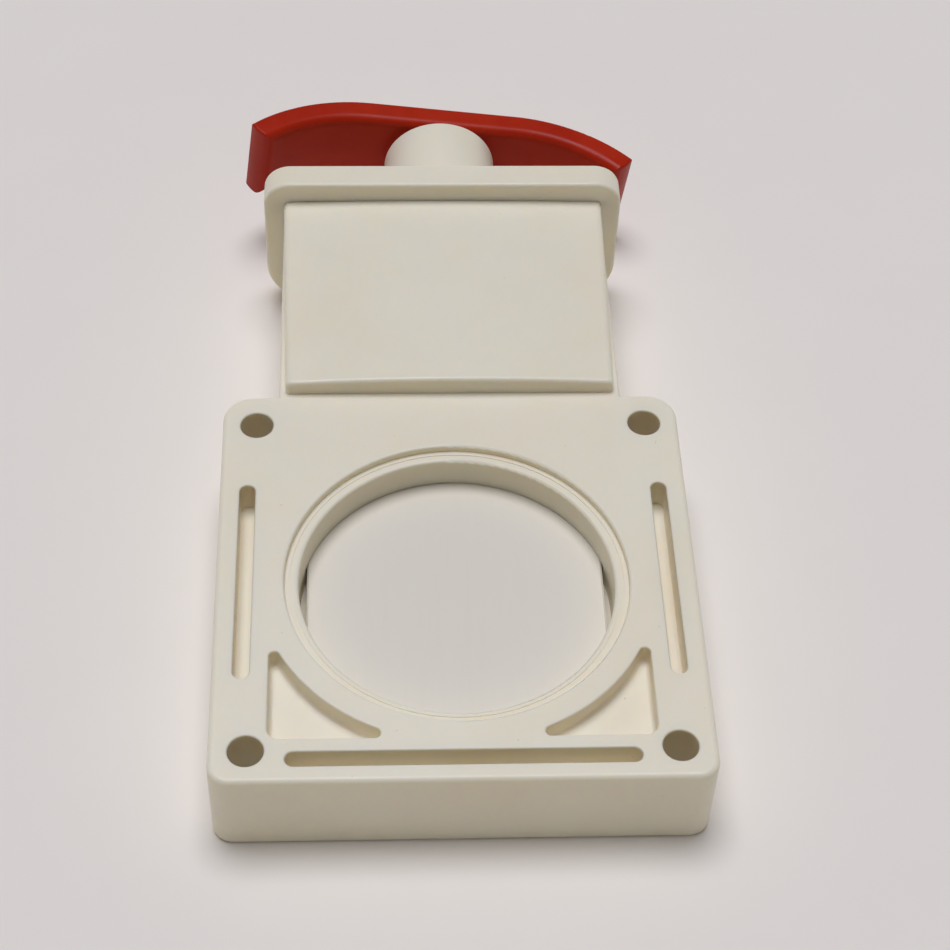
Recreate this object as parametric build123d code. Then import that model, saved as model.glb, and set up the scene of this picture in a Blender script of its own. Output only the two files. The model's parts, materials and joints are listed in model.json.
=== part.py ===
from build123d import *
import math
import os

# Sliding-blade gate valve body with a red T-handle, modelled closed, in millimetres.
# Origin: on the port's axis, at the middle of the ported plate's thickness.
# +Z runs along the port's axis, +Y points from the port to the handle, +X is across.

# ---------------------------------------------------------------- driving dimensions
PORT_R = 38.1            # 3 in port
LOWER_PORT_R = 35.6      # below the blade, so that the closed blade covers it
BOLT_PITCH = 98.4        # 3-7/8 in square bolt pattern
BOLT_HOLE_R = 4.15
PLATE_T = 25.4           # 1 in plate
PLATE_HALF_W = 57.8
PLATE_BACK_Y = 59.0
STEM_R = 4.75            # 3/8 in rod
TRAVEL = 77.9            # blade travel, closed to fully open
REST_TURN = 7.0          # degrees that the handle stands turned about the stem at rest

# ported plate
HALF_T = PLATE_T / 2
PLATE_FRONT_CORNER_R = 5.0
PLATE_BACK_CORNER_R = 7.5
PLATE_EDGE_R = 1.3
CUT_EDGE_R = 0.45
RECESS_R = 41.5
RECESS_DEPTH = 1.9
RECESS_EDGE_R = 0.6
PORT_EDGE_R = 0.7
GROOVE_RING_R = 39.9
GROOVE_RING_HALF_W = 0.4
GROOVE_RING_DEPTH = 0.2
SLOT_W = 3.9
SLOT_DEPTH = 8.4
SIDE_SLOT_X = 50.95
SIDE_SLOT_LEN = 58.4
FRONT_SLOT_Y = -51.45
FRONT_SLOT_LEN = 80.8
POCKET_DEPTH = 5.1
POCKET_OUTER_X = 44.6
POCKET_OUTER_Y = 46.0
POCKET_ARC_R = 47.7
POCKET_CORNER_R = 3.0
POCKET_TIP_R = 1.3
POCKET_FLOOR_R = 1.0

# neck
NECK_FRONT_Y = 59.8
NECK_END_Y = 131.2
NECK_HALF_W = 42.1
NECK_END_HALF_W = 43.9
NECK_SIDE_HALF_H = 16.5
NECK_CROWN = 1.3
NECK_END_CROWN = 0.5
NECK_EDGE_R = 1.7
NECK_STEP_R = 1.0
SHOULDER_HALF_W = 43.8   # level with the plate's faces, beside the raised neck
SHOULDER_EDGE_R = 0.8

# inside of the housing
BLADE_HALF_W = 36.35
BLADE_T = 4.8
BLADE_FRONT_Y = -39.6
BLADE_REAR_Y = 52.2
CHANNEL_HALF_W = 36.7
CHANNEL_HALF_H = 2.48    # a sliding fit on the blade
CHANNEL_FRONT_Y = -40.2
CHANNEL_CORNER_R = 2.0
HUB_HALF_W = 13.0
HUB_HALF_H = 7.5
HUB_FRONT_Y = 42.6
HUB_GAP = 0.5
HUB_CORNER_R = 1.2
BLADE_EDGE_CHAMFER = 0.5
CAVITY_FRONT_Y = 62.5
CAVITY_HALF_H = 13.6
CAVITY_CORNER_R = 3.0

# end cap and boss
CAP_FRONT_Y = 128.1
CAP_BACK_Y = 136.5
CAP_HALF_W = 49.3
CAP_HALF_H = 22.7
CAP_TOP_CORNER_R = 7.5
CAP_LOW_CORNER_R = 15.0
CAP_EDGE_R = 0.9
SOCKET_CLEARANCE = 0.05
GASKET_T = 1.2
BOSS_R = 15.8
BOSS_END_Y = 162.6
BOSS_EDGE_R = 1.0
SCREW_X = 40.4
SCREW_Z = 11.0
SCREW_R = 1.9
SCREW_PILOT_R = 1.7
SCREW_HEAD_R = 3.6
SCREW_HEAD_H = 2.4
SCREW_HEAD_EDGE_R = 1.2
SCREW_SLOT = (3.6, 2.2, 0.8)
SCREW_LEN = 16.0
BUFFER_T = 2.0
BUFFER_R = 9.0

# stem gland, from the inside outwards
FIT_GAP = 0.05
STEM_HOLE_R = 5.3
BUSH_START_Y = 137.0
BUSH_LEN = 10.0
BUSH_R = 7.4
GLAND_R = 8.2
RING_SECTION_R = 1.7
WASHER_T = 1.0
SPACER_T = 2.6
SPACER_GROOVE_DEPTH = 0.7
SPACER_RIM_T = 0.8
WIPER_T = 2.2
WIPER_RELIEF = (1.6, 1.0)
CIRCLIP_T = 1.2
CIRCLIP_PLAY = 0.05
CIRCLIP_BAND_W = 1.4
CIRCLIP_HALF_GAP = 3.0
CIRCLIP_LUG_R = 1.5
CIRCLIP_LUG_HOLE_R = 0.7
CIRCLIP_GROOVE_DEPTH = 0.8
CIRCLIP_LUG_X = 3.9
CIRCLIP_LUG_Z = -5.7

# stem, pins and handle
STEM_START_Y = 43.6
GROOVE_Y = 48.0
GROOVE_R = 3.2
PIN_R = 1.5
SHOULDER_Y = 164.5
SPIGOT_SIZE = 6.6
SPIGOT_END_Y = 169.3
FRONT_WASHER_T = 1.25
FRONT_WASHER_R = 8.5
HANDLE_T = 7.6
HANDLE_HALF_H = 11.7
HANDLE_BACK_Y = 173.4
HANDLE_FLAT = 21.0
HANDLE_BEND_R = 44.4
HANDLE_HALF_LEN = 55.1
HANDLE_END_BULGE = 0.7
HANDLE_END_CORNER_R = 1.1
HANDLE_FRONT_EDGE_R = 2.6
HANDLE_LOW_EDGE_R = 5.5
HANDLE_BACK_EDGE_R = 0.8
HANDLE_SCREW_R = 2.5
COUNTERBORE_R = 8.3
COUNTERBORE_DEPTH = 3.6
REAR_WASHER_T = 1.0
REAR_WASHER_R = 7.8
HANDLE_HEAD_R = 5.6
HANDLE_HEAD_H = 3.4
HANDLE_HEAD_EDGE_R = 1.0
HEX_SOCKET_R = 2.3
HEX_SOCKET_DEPTH = 2.2
HANDLE_SCREW_LEN = 15.0

os.makedirs("parts", exist_ok=True)


# ---------------------------------------------------------------- helpers
def block(x0, x1, y0, y1, z0, z1):
    """A box between two corners."""
    return Pos((x0 + x1) / 2, (y0 + y1) / 2, (z0 + z1) / 2) * Box(x1 - x0, y1 - y0, z1 - z0)


def rod_y(radius, y0, y1, x=0.0, z=0.0):
    """A cylinder along Y."""
    return Pos(x, (y0 + y1) / 2, z) * Rot(90, 0, 0) * Cylinder(radius, y1 - y0)


def rod_z(radius, z0, z1, x=0.0, y=0.0):
    """A cylinder along Z."""
    return Pos(x, y, (z0 + z1) / 2) * Cylinder(radius, z1 - z0)


def ring_y(inner, outer, y0, y1):
    """A flat ring about the stem's axis."""
    return rod_y(outer, y0, y1) - rod_y(inner, y0 - 1, y1 + 1)


def edges_at_y(solid, y):
    """The edges that lie wholly in the plane of one Y."""
    return solid.edges().filter_by_position(Axis.Y, y - 0.01, y + 0.01)


def edges_at_z(solid, z):
    """The edges that lie wholly in the plane of one Z."""
    return solid.edges().filter_by_position(Axis.Z, z - 0.01, z + 0.01)


def circle_at_z(solid, z, radius):
    """The round edges of one radius, about the port's axis, in the plane of one Z."""
    return [e for e in edges_at_z(solid, z) if abs(e.bounding_box().size.X - 2 * radius) < 0.01]


def save(node, solid):
    """Write one sub-part."""
    solid.label = node
    export_step(solid, f"parts/{node}.step")


# ---------------------------------------------------------------- housing
def is_inside_plate(edge):
    """Whether an edge belongs to a cut-out of the plate, not to its outline."""
    box = edge.bounding_box()
    margin = PLATE_HALF_W - PLATE_EDGE_R - 0.5
    return box.min.X > -margin and box.max.X < margin and box.min.Y > -margin and box.max.Y < margin


def neck_section(y, half_w, side_half_h, crown):
    """Cross-section of the neck: straight sides, gently crowned top and bottom."""
    top = side_half_h + crown
    with BuildSketch(Plane((0, y, 0), x_dir=(1, 0, 0), z_dir=(0, -1, 0))) as section:
        with BuildLine():
            ThreePointArc((-half_w, side_half_h), (0, top), (half_w, side_half_h))
            Line((half_w, side_half_h), (half_w, -side_half_h))
            ThreePointArc((half_w, -side_half_h), (0, -top), (-half_w, -side_half_h))
            Line((-half_w, -side_half_h), (-half_w, side_half_h))
        make_face()
    return section.sketch


def neck_solid(y0, y1, extra=0.0):
    """The drafted neck between two stations, its long edges rounded, optionally grown all round."""
    def half_w(y):
        part = (y - NECK_FRONT_Y) / (NECK_END_Y - NECK_FRONT_Y)
        return NECK_HALF_W + part * (NECK_END_HALF_W - NECK_HALF_W) + extra

    def crown(y):
        part = (y - NECK_FRONT_Y) / (NECK_END_Y - NECK_FRONT_Y)
        return NECK_CROWN + part * (NECK_END_CROWN - NECK_CROWN)

    sections = [neck_section(y, half_w(y), NECK_SIDE_HALF_H + extra, crown(y)) for y in (y0, y1)]
    neck = loft(sections)
    corners = [e for e in neck.edges() if e.bounding_box().size.Y > 0.9 * (y1 - y0)]
    return fillet(corners, NECK_EDGE_R + extra)


def corner_pocket(side):
    """Blind pocket in a front corner of the plate, along an arc concentric with the port."""
    x, y = POCKET_OUTER_X, POCKET_OUTER_Y
    square = Pos(-side * x / 2, -y / 2) * Rectangle(x, y)
    outline = square - Circle(POCKET_ARC_R)
    corner = outline.vertices().sort_by_distance((-side * x, -y, 0))[0]
    tips = [v for v in outline.vertices() if v != corner]
    outline = fillet(corner, POCKET_CORNER_R)
    return fillet([v for v in outline.vertices() if min_distance(v, tips) < 0.1], POCKET_TIP_R)


def min_distance(vertex, others):
    """Distance from a vertex to the nearest of some others."""
    return min((Vector(vertex) - Vector(other)).length for other in others)


def face_features():
    """Cut-outs of the plate's upper face, as one list of solids reaching just above it."""
    over = 1.0
    cuts = [rod_z(RECESS_R, HALF_T - RECESS_DEPTH, HALF_T + over)]
    slots = [
        (SIDE_SLOT_X, 0, SIDE_SLOT_LEN, 90),
        (-SIDE_SLOT_X, 0, SIDE_SLOT_LEN, 90),
        (0, FRONT_SLOT_Y, FRONT_SLOT_LEN, 0),
    ]
    for x, y, length, turn in slots:
        slot = Pos(x, y, HALF_T - SLOT_DEPTH) * Rot(0, 0, turn) * SlotOverall(length, SLOT_W)
        cuts.append(extrude(slot, amount=SLOT_DEPTH + over, dir=(0, 0, 1)))
    floor = HALF_T - POCKET_DEPTH
    for side in (-1, 1):
        pocket = extrude(Pos(0, 0, floor) * corner_pocket(side), amount=POCKET_DEPTH + over, dir=(0, 0, 1))
        cuts.append(fillet(edges_at_z(pocket, floor), POCKET_FLOOR_R))
    return cuts


def make_housing():
    plate = block(-PLATE_HALF_W, PLATE_HALF_W, -PLATE_HALF_W, PLATE_BACK_Y, -HALF_T, HALF_T)
    upright = plate.edges().filter_by(Axis.Z)
    plate = fillet(upright.sort_by(Axis.Y)[:2], PLATE_FRONT_CORNER_R)
    upright = plate.edges().filter_by(Axis.Z)
    plate = fillet(upright.sort_by(Axis.Y)[-2:], PLATE_BACK_CORNER_R)
    plate = fillet(edges_at_z(plate, HALF_T) + edges_at_z(plate, -HALF_T), PLATE_EDGE_R)

    neck = neck_solid(NECK_FRONT_Y, NECK_END_Y)
    step = [e for e in edges_at_y(neck, NECK_FRONT_Y) if e.bounding_box().size.X > 10]
    neck = fillet(step, NECK_STEP_R)
    shoulder_front, shoulder_back = PLATE_BACK_Y - PLATE_EDGE_R - 1, CAP_FRONT_Y - SOCKET_CLEARANCE
    w = SHOULDER_HALF_W
    shoulders = block(-w, w, shoulder_front, shoulder_back, -HALF_T, HALF_T)
    shoulders = fillet(shoulders.edges().filter_by(Axis.Y), SHOULDER_EDGE_R)
    housing = plate + neck + shoulders

    # both faces of the plate are alike
    for cut in face_features():
        housing -= cut
        housing -= Rot(0, 180, 0) * cut
    housing -= rod_z(PORT_R, -CHANNEL_HALF_H, HALF_T)
    housing -= rod_z(LOWER_PORT_R, -HALF_T, HALF_T)
    for x in (-1, 1):
        for y in (-1, 1):
            hole = rod_z(BOLT_HOLE_R, -HALF_T - 1, HALF_T + 1, x * BOLT_PITCH / 2, y * BOLT_PITCH / 2)
            housing -= hole

    # softened edges round the cut-outs and the port
    floor = HALF_T - RECESS_DEPTH
    for face_z, port_r in ((HALF_T, PORT_R), (-HALF_T, LOWER_PORT_R)):
        housing = fillet(circle_at_z(housing, face_z, RECESS_R), RECESS_EDGE_R)
        inner = [e for e in edges_at_z(housing, face_z) if is_inside_plate(e)]
        housing = fillet(inner, CUT_EDGE_R)
        housing = fillet(circle_at_z(housing, math.copysign(floor, face_z), port_r), PORT_EDGE_R)

    # fine groove in the floor of each recess
    inner, outer = GROOVE_RING_R - GROOVE_RING_HALF_W, GROOVE_RING_R + GROOVE_RING_HALF_W
    groove = rod_z(outer, floor - GROOVE_RING_DEPTH, floor + 1) - rod_z(inner, 0, HALF_T)
    housing = housing - groove - Rot(0, 180, 0) * groove

    # blade channel, room for the hub, and the neck's cavity
    w, h = CHANNEL_HALF_W, CHANNEL_HALF_H
    channel = block(-w, w, CHANNEL_FRONT_Y, CAVITY_FRONT_Y + 1, -h, h)
    channel = fillet(channel.edges().filter_by(Axis.Z).sort_by(Axis.Y)[:2], CHANNEL_CORNER_R)
    hub_w, hub_h = HUB_HALF_W + HUB_GAP, HUB_HALF_H + HUB_GAP
    hub_front = HUB_FRONT_Y - HUB_GAP
    hub_room = block(-hub_w, hub_w, hub_front, CAVITY_FRONT_Y + 1, -hub_h, hub_h)
    cavity = block(-w, w, CAVITY_FRONT_Y, NECK_END_Y + 1, -CAVITY_HALF_H, CAVITY_HALF_H)
    cavity = fillet(cavity.edges().filter_by(Axis.Y), CAVITY_CORNER_R)
    housing = housing - channel - hub_room - cavity

    # pilot holes for the end cap's screws
    for x in (-SCREW_X, SCREW_X):
        for z in (-SCREW_Z, SCREW_Z):
            housing -= rod_y(SCREW_PILOT_R, NECK_END_Y - SCREW_LEN, NECK_END_Y + 1, x, z)
    return housing


# ---------------------------------------------------------------- end cap and its hardware
def make_gasket():
    y0, y1 = NECK_END_Y, NECK_END_Y + GASKET_T
    w, h = CHANNEL_HALF_W, CAVITY_HALF_H
    gasket = neck_solid(y0, y1) - block(-w, w, y0 - 1, y1 + 1, -h, h)
    for x in (-SCREW_X, SCREW_X):
        for z in (-SCREW_Z, SCREW_Z):
            gasket -= rod_y(SCREW_R, y0 - 1, y1 + 1, x, z)
    return gasket


def make_end_cap():
    cap = block(-CAP_HALF_W, CAP_HALF_W, CAP_FRONT_Y, CAP_BACK_Y, -CAP_HALF_H, CAP_HALF_H)
    corners = cap.edges().filter_by(Axis.Y).sort_by(Axis.Z)
    cap = fillet(corners[:2], CAP_LOW_CORNER_R)
    corners = cap.edges().filter_by(Axis.Y).sort_by(Axis.Z)
    cap = fillet(corners[-2:], CAP_TOP_CORNER_R)
    cap = fillet(edges_at_y(cap, CAP_BACK_Y) + edges_at_y(cap, CAP_FRONT_Y), CAP_EDGE_R)
    boss = rod_y(BOSS_R, CAP_BACK_Y - 1, BOSS_END_Y)
    boss = fillet(edges_at_y(boss, BOSS_END_Y), BOSS_EDGE_R)
    cap += boss
    inner_wall_y = NECK_END_Y + GASKET_T
    cap -= neck_solid(CAP_FRONT_Y - 1, inner_wall_y, SOCKET_CLEARANCE)
    cap -= rod_y(STEM_HOLE_R, inner_wall_y - 1, BOSS_END_Y)
    cap -= rod_y(BUSH_R, BUSH_START_Y, BOSS_END_Y)
    cap -= rod_y(GLAND_R, BUSH_START_Y + BUSH_LEN, BOSS_END_Y + 1)
    clip_y = circlip_y()
    cap -= rod_y(GLAND_R + CIRCLIP_GROOVE_DEPTH, clip_y, clip_y + CIRCLIP_T)
    for x in (-SCREW_X, SCREW_X):
        for z in (-SCREW_Z, SCREW_Z):
            cap -= rod_y(SCREW_R, inner_wall_y - 1, CAP_BACK_Y + 1, x, z)
    return cap


def make_cap_screws():
    """Pan-head self-tapping screws with a cross recess."""
    screws = []
    for x in (-SCREW_X, SCREW_X):
        for z in (-SCREW_Z, SCREW_Z):
            start = NECK_END_Y - SCREW_LEN + 2
            shank = rod_y(SCREW_PILOT_R, start, CAP_BACK_Y + 0.5, x, z)
            head = rod_y(SCREW_HEAD_R, CAP_BACK_Y, CAP_BACK_Y + SCREW_HEAD_H, x, z)
            head = fillet(edges_at_y(head, CAP_BACK_Y + SCREW_HEAD_H), SCREW_HEAD_EDGE_R)
            screw = head + shank
            for turn in (45, 135):
                y = CAP_BACK_Y + SCREW_HEAD_H
                screw -= Pos(x, y, z) * Rot(0, turn, 0) * Box(*SCREW_SLOT)
            screws.append(screw)
    return Compound(children=screws)


def circlip_y():
    """Where the circlip's groove starts: the end of the gland stack."""
    stack = 2 * WASHER_T + 4 * RING_SECTION_R + SPACER_T + WIPER_T
    return BUSH_START_Y + BUSH_LEN + stack


def o_ring(y):
    """An O-ring on the stem, from y to y plus its section."""
    middle = STEM_R + FIT_GAP + RING_SECTION_R
    return Pos(0, y + RING_SECTION_R, 0) * Rot(90, 0, 0) * Torus(middle, RING_SECTION_R)


def make_gland():
    """The stack in the boss, each piece against the next."""
    y = BUSH_START_Y
    pieces = {"gland_bush": ring_y(STEM_R + FIT_GAP, BUSH_R, y, y + BUSH_LEN)}
    y += BUSH_LEN
    inner, outer = STEM_HOLE_R, GLAND_R - FIT_GAP
    pieces["inner_backup_washer"] = ring_y(inner, outer, y, y + WASHER_T)
    y += WASHER_T
    pieces["inner_o_ring"] = o_ring(y)
    y += 2 * RING_SECTION_R
    spacer = ring_y(inner, outer, y, y + SPACER_T)
    groove = ring_y(outer - SPACER_GROOVE_DEPTH, outer + 1, y + SPACER_RIM_T, y + SPACER_T - SPACER_RIM_T)
    pieces["seal_spacer"] = spacer - groove
    y += SPACER_T
    pieces["outer_o_ring"] = o_ring(y)
    y += 2 * RING_SECTION_R
    pieces["outer_backup_washer"] = ring_y(inner, outer, y, y + WASHER_T)
    y += WASHER_T
    wiper = ring_y(STEM_R + FIT_GAP, outer, y, y + WIPER_T)
    relief_w, relief_h = WIPER_RELIEF
    relief = Rot(-90, 0, 0) * Cone(inner, inner + relief_w, relief_h)
    pieces["stem_wiper"] = wiper - Pos(0, y + WIPER_T - relief_h / 2, 0) * relief
    y += WIPER_T
    clip_outer = GLAND_R + CIRCLIP_GROOVE_DEPTH - FIT_GAP
    clip_end = y + CIRCLIP_T - CIRCLIP_PLAY
    clip = ring_y(GLAND_R - CIRCLIP_BAND_W, clip_outer, y, clip_end)
    clip -= block(-CIRCLIP_HALF_GAP, CIRCLIP_HALF_GAP, y - 1, clip_end + 1, -clip_outer - 1, 0)
    for x in (-CIRCLIP_LUG_X, CIRCLIP_LUG_X):
        clip += rod_y(CIRCLIP_LUG_R, y, clip_end, x, CIRCLIP_LUG_Z)
        clip -= rod_y(CIRCLIP_LUG_HOLE_R, y - 1, clip_end + 1, x, CIRCLIP_LUG_Z)
    pieces["retaining_ring"] = clip
    return pieces


# ---------------------------------------------------------------- blade
def make_blade():
    w, t = BLADE_HALF_W, BLADE_T / 2
    blade = block(-w, w, BLADE_FRONT_Y, BLADE_REAR_Y, -t, t)
    blade = fillet(blade.edges().filter_by(Axis.Z).sort_by(Axis.Y)[:2], CHANNEL_CORNER_R)
    blade = chamfer(edges_at_y(blade, BLADE_FRONT_Y).filter_by(Axis.X), BLADE_EDGE_CHAMFER)
    hub = block(-HUB_HALF_W, HUB_HALF_W, HUB_FRONT_Y, BLADE_REAR_Y, -HUB_HALF_H, HUB_HALF_H)
    hub = fillet(hub.edges().filter_by(Axis.Z), HUB_CORNER_R)
    blade += hub
    blade -= rod_y(STEM_R + FIT_GAP, STEM_START_Y - 0.3, BLADE_REAR_Y + 1)
    for x in (-1, 1):
        blade -= rod_z(PIN_R, -HUB_HALF_H, HUB_HALF_H, x * (GROOVE_R + PIN_R + FIT_GAP), GROOVE_Y)
    return blade


def make_yoke_pins():
    x = GROOVE_R + PIN_R + FIT_GAP
    return Compound(children=[
        rod_z(PIN_R, -HUB_HALF_H, HUB_HALF_H, side * x, GROOVE_Y) for side in (-1, 1)
    ])


# ---------------------------------------------------------------- stem and handle, turned together
def turned(solid):
    """Turn about the stem's axis to the angle at which the handle rests."""
    return Rot(0, REST_TURN, 0) * solid


def make_stem():
    stem = rod_y(STEM_R, STEM_START_Y, SHOULDER_Y)
    stem = chamfer(edges_at_y(stem, STEM_START_Y), 0.6)
    groove_half_w = PIN_R + FIT_GAP
    stem -= ring_y(GROOVE_R, STEM_R + 1, GROOVE_Y - groove_half_w, GROOVE_Y + groove_half_w)
    half = SPIGOT_SIZE / 2
    stem += block(-half, half, SHOULDER_Y - 1, SPIGOT_END_Y, -half, half)
    tapped_depth = HANDLE_SCREW_LEN
    stem -= rod_y(HANDLE_SCREW_R, SPIGOT_END_Y - tapped_depth, SPIGOT_END_Y + 1)
    return stem


def handle_plan(extra=0.0):
    """Plan of the handle: a bar of even width, straight in the middle, bent forward at its ends.

    Extra moves its back outwards and makes its ends that much longer.
    """
    half_t = HANDLE_T / 2
    line_y = HANDLE_BACK_Y - half_t
    outer, inner = HANDLE_BEND_R + half_t + extra, HANDLE_BEND_R - half_t
    sweep = math.asin((HANDLE_HALF_LEN - HANDLE_FLAT) / (HANDLE_BEND_R + half_t)) + extra / HANDLE_BEND_R
    middle = (outer + inner) / 2

    def at(radius, angle, side):
        x = HANDLE_FLAT + radius * math.sin(angle)
        y = line_y - HANDLE_BEND_R + radius * math.cos(angle)
        return side * x, y

    with BuildSketch() as plan:
        with BuildLine():
            back, front = line_y + half_t + extra, line_y - half_t
            Line((-HANDLE_FLAT, back), (HANDLE_FLAT, back))
            Line((-HANDLE_FLAT, front), (HANDLE_FLAT, front))
            for side in (-1, 1):
                for radius in (outer, inner):
                    ThreePointArc(*(at(radius, sweep * part, side) for part in (0, 0.5, 1)))
                tip = at(middle, sweep + HANDLE_END_BULGE / middle, side)
                ThreePointArc(at(outer, sweep, side), tip, at(inner, sweep, side))
        make_face()
        end_corners = plan.vertices().sort_by(Axis.Y)[:4]
        fillet(end_corners[:2], HANDLE_FRONT_EDGE_R)
        fillet(end_corners[2:], HANDLE_END_CORNER_R)
    return plan.sketch


def handle_bar(extra, top_edge_r, low_edge_r):
    """The bar with its long edges rounded, the same at the front as at the back."""
    bar = extrude(Pos(0, 0, -HANDLE_HALF_H) * handle_plan(extra), amount=2 * HANDLE_HALF_H)
    bar = fillet(edges_at_z(bar, HANDLE_HALF_H), top_edge_r)
    return fillet(edges_at_z(bar, -HANDLE_HALF_H), low_edge_r)


def make_handle():
    # the larger bar reaches past the smaller one everywhere but at the front, where its rounder edges stay
    handle = handle_bar(0.0, HANDLE_BACK_EDGE_R, HANDLE_BACK_EDGE_R)
    handle &= handle_bar(HANDLE_LOW_EDGE_R + 1, HANDLE_FRONT_EDGE_R, HANDLE_LOW_EDGE_R)
    half = SPIGOT_SIZE / 2 + FIT_GAP
    front_y = HANDLE_BACK_Y - HANDLE_T
    handle -= block(-half, half, front_y - 1, HANDLE_BACK_Y + 1, -half, half)
    handle -= rod_y(COUNTERBORE_R, HANDLE_BACK_Y - COUNTERBORE_DEPTH, HANDLE_BACK_Y + 1)
    return handle


def make_handle_hardware():
    """The washers and the screw that hold the handle on the stem."""
    front_y = HANDLE_BACK_Y - HANDLE_T
    floor_y = HANDLE_BACK_Y - COUNTERBORE_DEPTH
    head_y = floor_y + REAR_WASHER_T
    half = SPIGOT_SIZE / 2 + FIT_GAP
    front_washer = rod_y(FRONT_WASHER_R, front_y - FRONT_WASHER_T, front_y)
    front_washer -= block(-half, half, SHOULDER_Y - 1, front_y + 1, -half, half)
    rear_washer = ring_y(HANDLE_SCREW_R + FIT_GAP, REAR_WASHER_R, floor_y, head_y)
    head = rod_y(HANDLE_HEAD_R, head_y, head_y + HANDLE_HEAD_H)
    head = fillet(edges_at_y(head, head_y + HANDLE_HEAD_H), HANDLE_HEAD_EDGE_R)
    screw = head + rod_y(HANDLE_SCREW_R, SPIGOT_END_Y - HANDLE_SCREW_LEN + 1, head_y + 0.5)
    socket = Plane((0, head_y + HANDLE_HEAD_H, 0), x_dir=(1, 0, 0), z_dir=(0, -1, 0))
    screw -= extrude(socket * RegularPolygon(HEX_SOCKET_R, 6), amount=HEX_SOCKET_DEPTH)
    return {"front_washer": front_washer, "handle_washer": rear_washer, "handle_screw": screw}


# ---------------------------------------------------------------- write the sub-parts
save("housing", make_housing())
save("end_cap", make_end_cap())
save("cap_gasket", make_gasket())
save("cap_screws", make_cap_screws())
inner_wall = NECK_END_Y + GASKET_T
save("stop_buffer", ring_y(STEM_HOLE_R + 0.2, BUFFER_R, inner_wall - BUFFER_T, inner_wall))
for node, solid in make_gland().items():
    save(node, solid)
save("blade", make_blade())
save("yoke_pins", make_yoke_pins())
save("stem", turned(make_stem()))
save("handle", turned(make_handle()))
for node, solid in make_handle_hardware().items():
    save(node, turned(solid))

# room left at the two ends of the blade's travel
print("closed gap", BLADE_FRONT_Y - CHANNEL_FRONT_Y)
print("open gap", inner_wall - BUFFER_T - BLADE_REAR_Y - TRAVEL)
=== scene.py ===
import math

import bpy
from mathutils import Matrix, Vector
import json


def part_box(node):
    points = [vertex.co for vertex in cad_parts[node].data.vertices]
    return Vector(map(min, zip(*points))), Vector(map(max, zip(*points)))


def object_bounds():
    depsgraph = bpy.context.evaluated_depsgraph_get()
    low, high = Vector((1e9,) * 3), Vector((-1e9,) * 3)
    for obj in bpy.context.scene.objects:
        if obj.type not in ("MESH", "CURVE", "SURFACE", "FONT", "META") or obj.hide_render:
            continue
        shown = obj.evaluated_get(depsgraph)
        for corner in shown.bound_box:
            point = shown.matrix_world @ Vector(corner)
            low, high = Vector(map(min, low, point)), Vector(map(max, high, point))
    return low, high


MM = 0.001

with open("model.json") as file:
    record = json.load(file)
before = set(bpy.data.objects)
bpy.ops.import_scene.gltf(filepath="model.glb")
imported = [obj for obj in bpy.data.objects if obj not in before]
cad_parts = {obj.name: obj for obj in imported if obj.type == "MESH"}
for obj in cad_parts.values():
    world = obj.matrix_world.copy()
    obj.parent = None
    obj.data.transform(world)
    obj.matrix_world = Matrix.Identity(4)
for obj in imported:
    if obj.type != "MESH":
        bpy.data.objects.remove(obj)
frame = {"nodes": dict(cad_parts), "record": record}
cad_low, cad_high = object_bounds()


# ---------------------------------------------------------------- places read from the frame
housing_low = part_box("housing")[0]
cap_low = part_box("end_cap")[0]
MOUNTS = {mount["name"]: mount for mount in frame["record"]["mounts"]}
plate_half_t = MOUNTS["flange_face_top"]["pos_m"][2]


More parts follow.
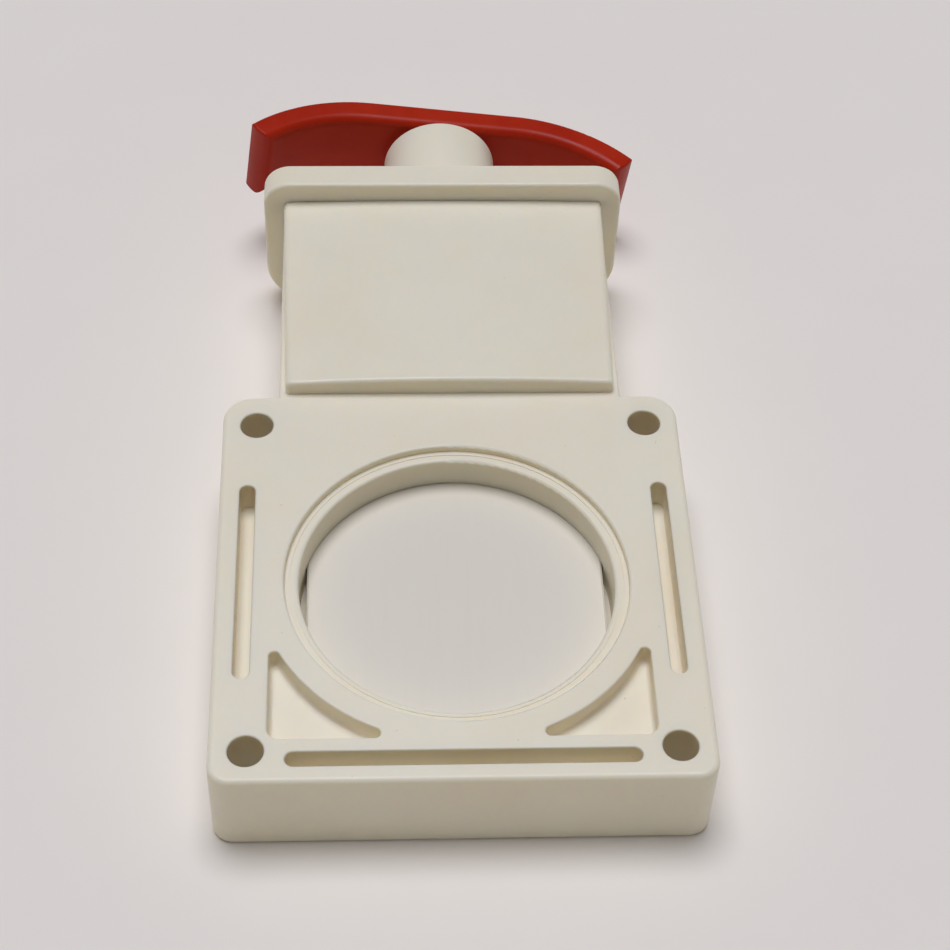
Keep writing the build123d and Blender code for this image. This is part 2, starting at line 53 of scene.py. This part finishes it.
# ---------------------------------------------------------------- material helpers
class Shader:
    """A principled material with short calls for the nodes that feed it."""

    def __init__(self, name, colour, roughness, **constants):
        self.material = bpy.data.materials.new(name)
        self.material.use_nodes = True
        self.tree = self.material.node_tree
        self.bsdf = self.tree.nodes["Principled BSDF"]
        self.set("Base Color", (*colour, 1.0))
        self.set("Roughness", roughness)
        for socket, value in constants.items():
            self.set(socket.replace("_", " "), value)
        self.where = self.add("ShaderNodeTexCoord").outputs["Object"]

    def set(self, socket, value):
        """Sets a constant on the principled shader's own socket."""
        self.bsdf.inputs[socket].default_value = value

    def add(self, kind, **fields):
        """Adds a node and sets its fields."""
        node = self.tree.nodes.new(kind)
        for field, value in fields.items():
            setattr(node, field, value)
        return node

    def link(self, source, target):
        self.tree.links.new(source, target)

    def stretched(self, x, y, z):
        """Object coordinates scaled along each axis."""
        mapping = self.add("ShaderNodeMapping")
        mapping.inputs["Scale"].default_value = (x, y, z)
        self.link(self.where, mapping.inputs["Vector"])
        return mapping.outputs["Vector"]

    def noise(self, scale, detail=2.0, where=None):
        """Noise with about that many waves in a metre."""
        node = self.add("ShaderNodeTexNoise")
        node.inputs["Scale"].default_value = scale
        node.inputs["Detail"].default_value = detail
        self.link(where or self.where, node.inputs["Vector"])
        return node.outputs["Fac"]

    def ramp(self, source, low, high, low_value=0.0, high_value=1.0):
        """Maps a range of source to a range of values, clamped."""
        node = self.add("ShaderNodeMapRange")
        for socket, value in zip(("From Min", "From Max", "To Min", "To Max"),
                                 (low, high, low_value, high_value)):
            node.inputs[socket].default_value = value
        self.link(source, node.inputs["Value"])
        return node.outputs["Result"]

    def tint(self, base, factor, colour):
        """Mixes a colour over base, which is a socket or a colour."""
        node = self.add("ShaderNodeMix", data_type="RGBA")
        self.link(factor, node.inputs[0])
        if isinstance(base, tuple):
            node.inputs[6].default_value = (*base, 1.0)
        else:
            self.link(base, node.inputs[6])
        node.inputs[7].default_value = (*colour, 1.0)
        return node.outputs[2]

    def bump(self, height, distance, normal=None):
        """Bumps of a height given in metres, over the plain surface or over another normal."""
        node = self.add("ShaderNodeBump")
        node.inputs["Strength"].default_value = 1.0
        node.inputs["Distance"].default_value = distance
        self.link(height, node.inputs["Height"])
        if normal is not None:
            self.link(normal, node.inputs["Normal"])
        return node.outputs["Normal"]

    def finish(self, colour, roughness=None, normal=None):
        """Links the sockets that are given and hands the material back."""
        for source, socket in ((colour, "Base Color"), (roughness, "Roughness"), (normal, "Normal")):
            if source is not None:
                self.link(source, self.bsdf.inputs[socket])
        return self.material


def cream_plastic(name, seed_shift):
    """Cream-white moulded plastic: satin, faintly wavy, a little yellowed and marked by handling."""
    base, yellowed, grime = (0.94, 0.865, 0.69), (0.925, 0.84, 0.65), (0.50, 0.42, 0.28)
    shader = Shader(name, base, 0.42, Specular_IOR_Level=0.35, Subsurface_Weight=0.4,
                    Subsurface_Scale=0.004, Subsurface_Radius=(1.0, 0.75, 0.40))
    moved = shader.add("ShaderNodeMapping")
    moved.inputs["Location"].default_value = (seed_shift, 0.0, seed_shift)
    shader.link(shader.where, moved.inputs["Vector"])
    where = moved.outputs["Vector"]
    patches = shader.ramp(shader.noise(32, 3, where), 0.42, 0.72)
    colour = shader.tint(base, patches, yellowed)
    specks = shader.ramp(shader.noise(900, 2, where), 0.765, 0.80, 0.0, 0.55)
    colour = shader.tint(colour, specks, grime)
    roughness = shader.ramp(shader.noise(140, 4, where), 0.3, 0.7, 0.30, 0.42)
    waves = shader.noise(85, 2, where)
    peel = shader.noise(1500, 2, where)
    normal = shader.bump(waves, 0.00012)
    normal = shader.bump(peel, 0.000010, normal=normal)
    return shader.finish(colour, roughness, normal)


def blade_plastic():
    """Cool grey-white gate plastic with fine rub marks along its travel."""
    base, worn = (0.83, 0.78, 0.655), (0.80, 0.745, 0.62)
    shader = Shader("blade_plastic", base, 0.5, Specular_IOR_Level=0.35)
    marks = shader.noise(60, 4, shader.stretched(9.0, 0.5, 1.0))
    colour = shader.tint(base, shader.ramp(marks, 0.5, 0.8, 0.0, 0.3), worn)
    roughness = shader.ramp(marks, 0.3, 0.7, 0.42, 0.52)
    normal = shader.bump(marks, 0.000008)
    normal = shader.bump(shader.noise(900, 2), 0.000010, normal=normal)
    return shader.finish(colour, roughness, normal)


def red_plastic():
    """Red moulded plastic with soft flow marks and rubbed edges."""
    base, deep, rubbed = (0.475, 0.024, 0.005), (0.42, 0.018, 0.004), (0.56, 0.040, 0.010)
    shader = Shader("red_plastic", base, 0.36, Specular_IOR_Level=0.17)
    flow = shader.noise(45, 4, shader.stretched(1.0, 1.0, 2.5))
    colour = shader.tint(base, shader.ramp(flow, 0.40, 0.65), deep)
    colour = shader.tint(colour, shader.ramp(shader.noise(700, 3), 0.66, 0.78, 0.0, 0.6), rubbed)
    roughness = shader.ramp(shader.noise(220, 4), 0.3, 0.7, 0.31, 0.41)
    normal = shader.bump(flow, 0.00015)
    normal = shader.bump(shader.noise(1300, 2), 0.000014, normal=normal)
    return shader.finish(colour, roughness, normal)


def steel(name, colour, roughness, along_y):
    """Stainless steel with fine turned or drawn lines."""
    shader = Shader(name, colour, roughness, Metallic=1.0)
    scale = (900.0, 6.0, 900.0) if along_y else (300.0, 300.0, 300.0)
    lines = shader.noise(1.0, 3, shader.stretched(*scale))
    tone = shader.ramp(lines, 0.3, 0.7, 0.0, 0.35)
    tinted = shader.tint(colour, tone, tuple(0.7 * c for c in colour))
    rough = shader.ramp(lines, 0.3, 0.7, roughness - 0.07, roughness + 0.1)
    return shader.finish(tinted, rough, shader.bump(lines, 0.000008))


def rubber():
    """Black rubber with a dusty bloom."""
    base, bloom = (0.022, 0.022, 0.024), (0.07, 0.07, 0.07)
    shader = Shader("black_rubber", base, 0.62, Specular_IOR_Level=0.3)
    dust = shader.noise(500, 4)
    colour = shader.tint(base, shader.ramp(dust, 0.45, 0.8), bloom)
    return shader.finish(colour, shader.ramp(dust, 0.3, 0.7, 0.52, 0.74), shader.bump(dust, 0.00002))


def bush_plastic():
    """Natural white bearing plastic with turning marks."""
    base, shade = (0.76, 0.75, 0.70), (0.66, 0.64, 0.58)
    shader = Shader("bush_plastic", base, 0.45, Specular_IOR_Level=0.4)
    marks = shader.noise(1.0, 3, shader.stretched(60.0, 2200.0, 60.0))
    colour = shader.tint(base, shader.ramp(marks, 0.45, 0.75, 0.0, 0.7), shade)
    return shader.finish(colour, shader.ramp(marks, 0.3, 0.7, 0.38, 0.52), shader.bump(marks, 0.00001))


MATERIALS = {
    "body_plastic": cream_plastic("body_plastic", 0.0),
    "cap_plastic": cream_plastic("cap_plastic", 0.31),
    "blade_plastic": blade_plastic(),
    "red_plastic": red_plastic(),
    "steel": steel("steel", (0.60, 0.60, 0.61), 0.26, True),
    "spring_steel": steel("spring_steel", (0.26, 0.26, 0.28), 0.34, False),
    "black_rubber": rubber(),
    "bush_plastic": bush_plastic(),
}


def dress_frame():
    """Gives each CAD node the material of its slot in the record."""
    for entry in frame["record"]["subparts"]:
        node = frame["nodes"][entry["node"]]
        node.data.materials.clear()
        node.data.materials.append(MATERIALS[entry["material_slot"]])


# ---------------------------------------------------------------- studio
CAMERA_PLACE = Vector((-20.8, -330.4, 434.0)) * MM
CAMERA_AZIMUTH = math.radians(-4.14)
CAMERA_ELEVATION = math.radians(49.23)
CAMERA_ROLL = math.radians(2.69)
CAMERA_LENS = 84.57
CAMERA_SENSOR = 36.0


def add_camera():
    """The camera stands in front of the plate, a little to its left, and looks down along the neck."""
    azimuth, elevation, roll = CAMERA_AZIMUTH, CAMERA_ELEVATION, CAMERA_ROLL
    back = Vector((math.sin(azimuth) * math.cos(elevation),
                   -math.cos(azimuth) * math.cos(elevation),
                   math.sin(elevation)))
    level = Vector((math.cos(azimuth), math.sin(azimuth), 0.0))
    upward = back.cross(level)
    right = math.cos(roll) * level + math.sin(roll) * upward
    up = back.cross(right)
    data = bpy.data.cameras.new("camera")
    data.sensor_width = CAMERA_SENSOR
    data.lens = CAMERA_LENS
    data.clip_start = 0.01
    camera = bpy.data.objects.new("camera", data)
    turned = Matrix((right, up, back)).transposed().to_4x4()
    camera.matrix_world = Matrix.Translation(CAMERA_PLACE) @ turned
    bpy.context.scene.collection.objects.link(camera)
    bpy.context.scene.camera = camera


# a wide soft sun from above, as from a big ceiling panel, and a sky that is pale near the horizon
SUN_FROM = Vector((-0.05, 0.21, 1.1))
SUN_POWER = 2.34
SUN_COLOUR = (0.888, 0.90, 1.0)
SUN_WIDTH = math.radians(34)
SKY_COLOUR = (1.0, 0.98, 0.97)
SKY_LOW = 0.43
SKY_HIGH = 0.02
SKY_FADE = (0.10, 0.35)

FLOOR_REACH = 30.0
FLOOR_TONES = (0.88, 0.825, 0.74), (0.87, 0.815, 0.73)
FLOOR_GLOW = (0.04, 0.04, 0.04)
PLATE_EDGE_R = 1.3 * MM
CAP_EDGE_R = 0.9 * MM


def add_sun(middle):
    """The sun stands above the valve; only its direction counts."""
    data = bpy.data.lights.new("overhead", "SUN")
    data.energy = SUN_POWER
    data.color = SUN_COLOUR
    data.angle = SUN_WIDTH
    sun = bpy.data.objects.new("overhead", data)
    sun.location = middle + SUN_FROM
    sun.rotation_euler = (-SUN_FROM).to_track_quat("-Z", "Y").to_euler()
    bpy.context.scene.collection.objects.link(sun)


def add_floor():
    """A pale sheet that glows a little, as on a light table.

    It touches the plate's lower front edge and the cap's lower edge, on which the valve stands.
    """
    front = Vector((0.0, housing_low.y + PLATE_EDGE_R, -plate_half_t))
    back = Vector((0.0, cap_low.y + CAP_EDGE_R, cap_low.z))
    tilt = math.atan2(back.z - front.z, back.y - front.y)
    corners = [(FLOOR_REACH * x, FLOOR_REACH * y, 0) for x, y in ((-1, -1), (1, -1), (1, 1), (-1, 1))]
    mesh = bpy.data.meshes.new("floor")
    mesh.from_pydata(corners, [], [(0, 1, 2, 3)])
    floor = bpy.data.objects.new("floor", mesh)
    floor.location = front
    floor.rotation_euler = (tilt, 0.0, 0.0)
    bpy.context.scene.collection.objects.link(floor)
    tone, shade = FLOOR_TONES
    shader = Shader("floor_paint", tone, 0.85, Specular_IOR_Level=0.1)
    shader.set("Emission Color", (*FLOOR_GLOW, 1.0))
    shader.set("Emission Strength", 1.0)
    grain = shader.noise(30, 3)
    colour = shader.tint(tone, shader.ramp(grain, 0.3, 0.7), shade)
    floor.data.materials.append(shader.finish(colour))


def sky():
    """A world that is pale near the horizon and almost dark higher up."""
    world = bpy.data.worlds.new("studio")
    world.use_nodes = True
    nodes, links = world.node_tree.nodes, world.node_tree.links
    direction = nodes.new("ShaderNodeTexCoord")
    split = nodes.new("ShaderNodeSeparateXYZ")
    fade = nodes.new("ShaderNodeMapRange")
    fade.inputs["From Min"].default_value, fade.inputs["From Max"].default_value = SKY_FADE
    fade.inputs["To Min"].default_value = SKY_LOW
    fade.inputs["To Max"].default_value = SKY_HIGH
    links.new(direction.outputs["Generated"], split.inputs["Vector"])
    links.new(split.outputs["Z"], fade.inputs["Value"])
    background = nodes["Background"]
    background.inputs["Color"].default_value = (*SKY_COLOUR, 1.0)
    links.new(fade.outputs["Result"], background.inputs["Strength"])
    return world


def add_studio():
    """Sets the colour view, and adds the sky, the sun and the floor."""
    scene = bpy.context.scene
    scene.view_settings.view_transform = "Standard"
    scene.world = sky()
    add_sun((cad_low + cad_high) / 2)
    add_floor()


dress_frame()
add_camera()
add_studio()
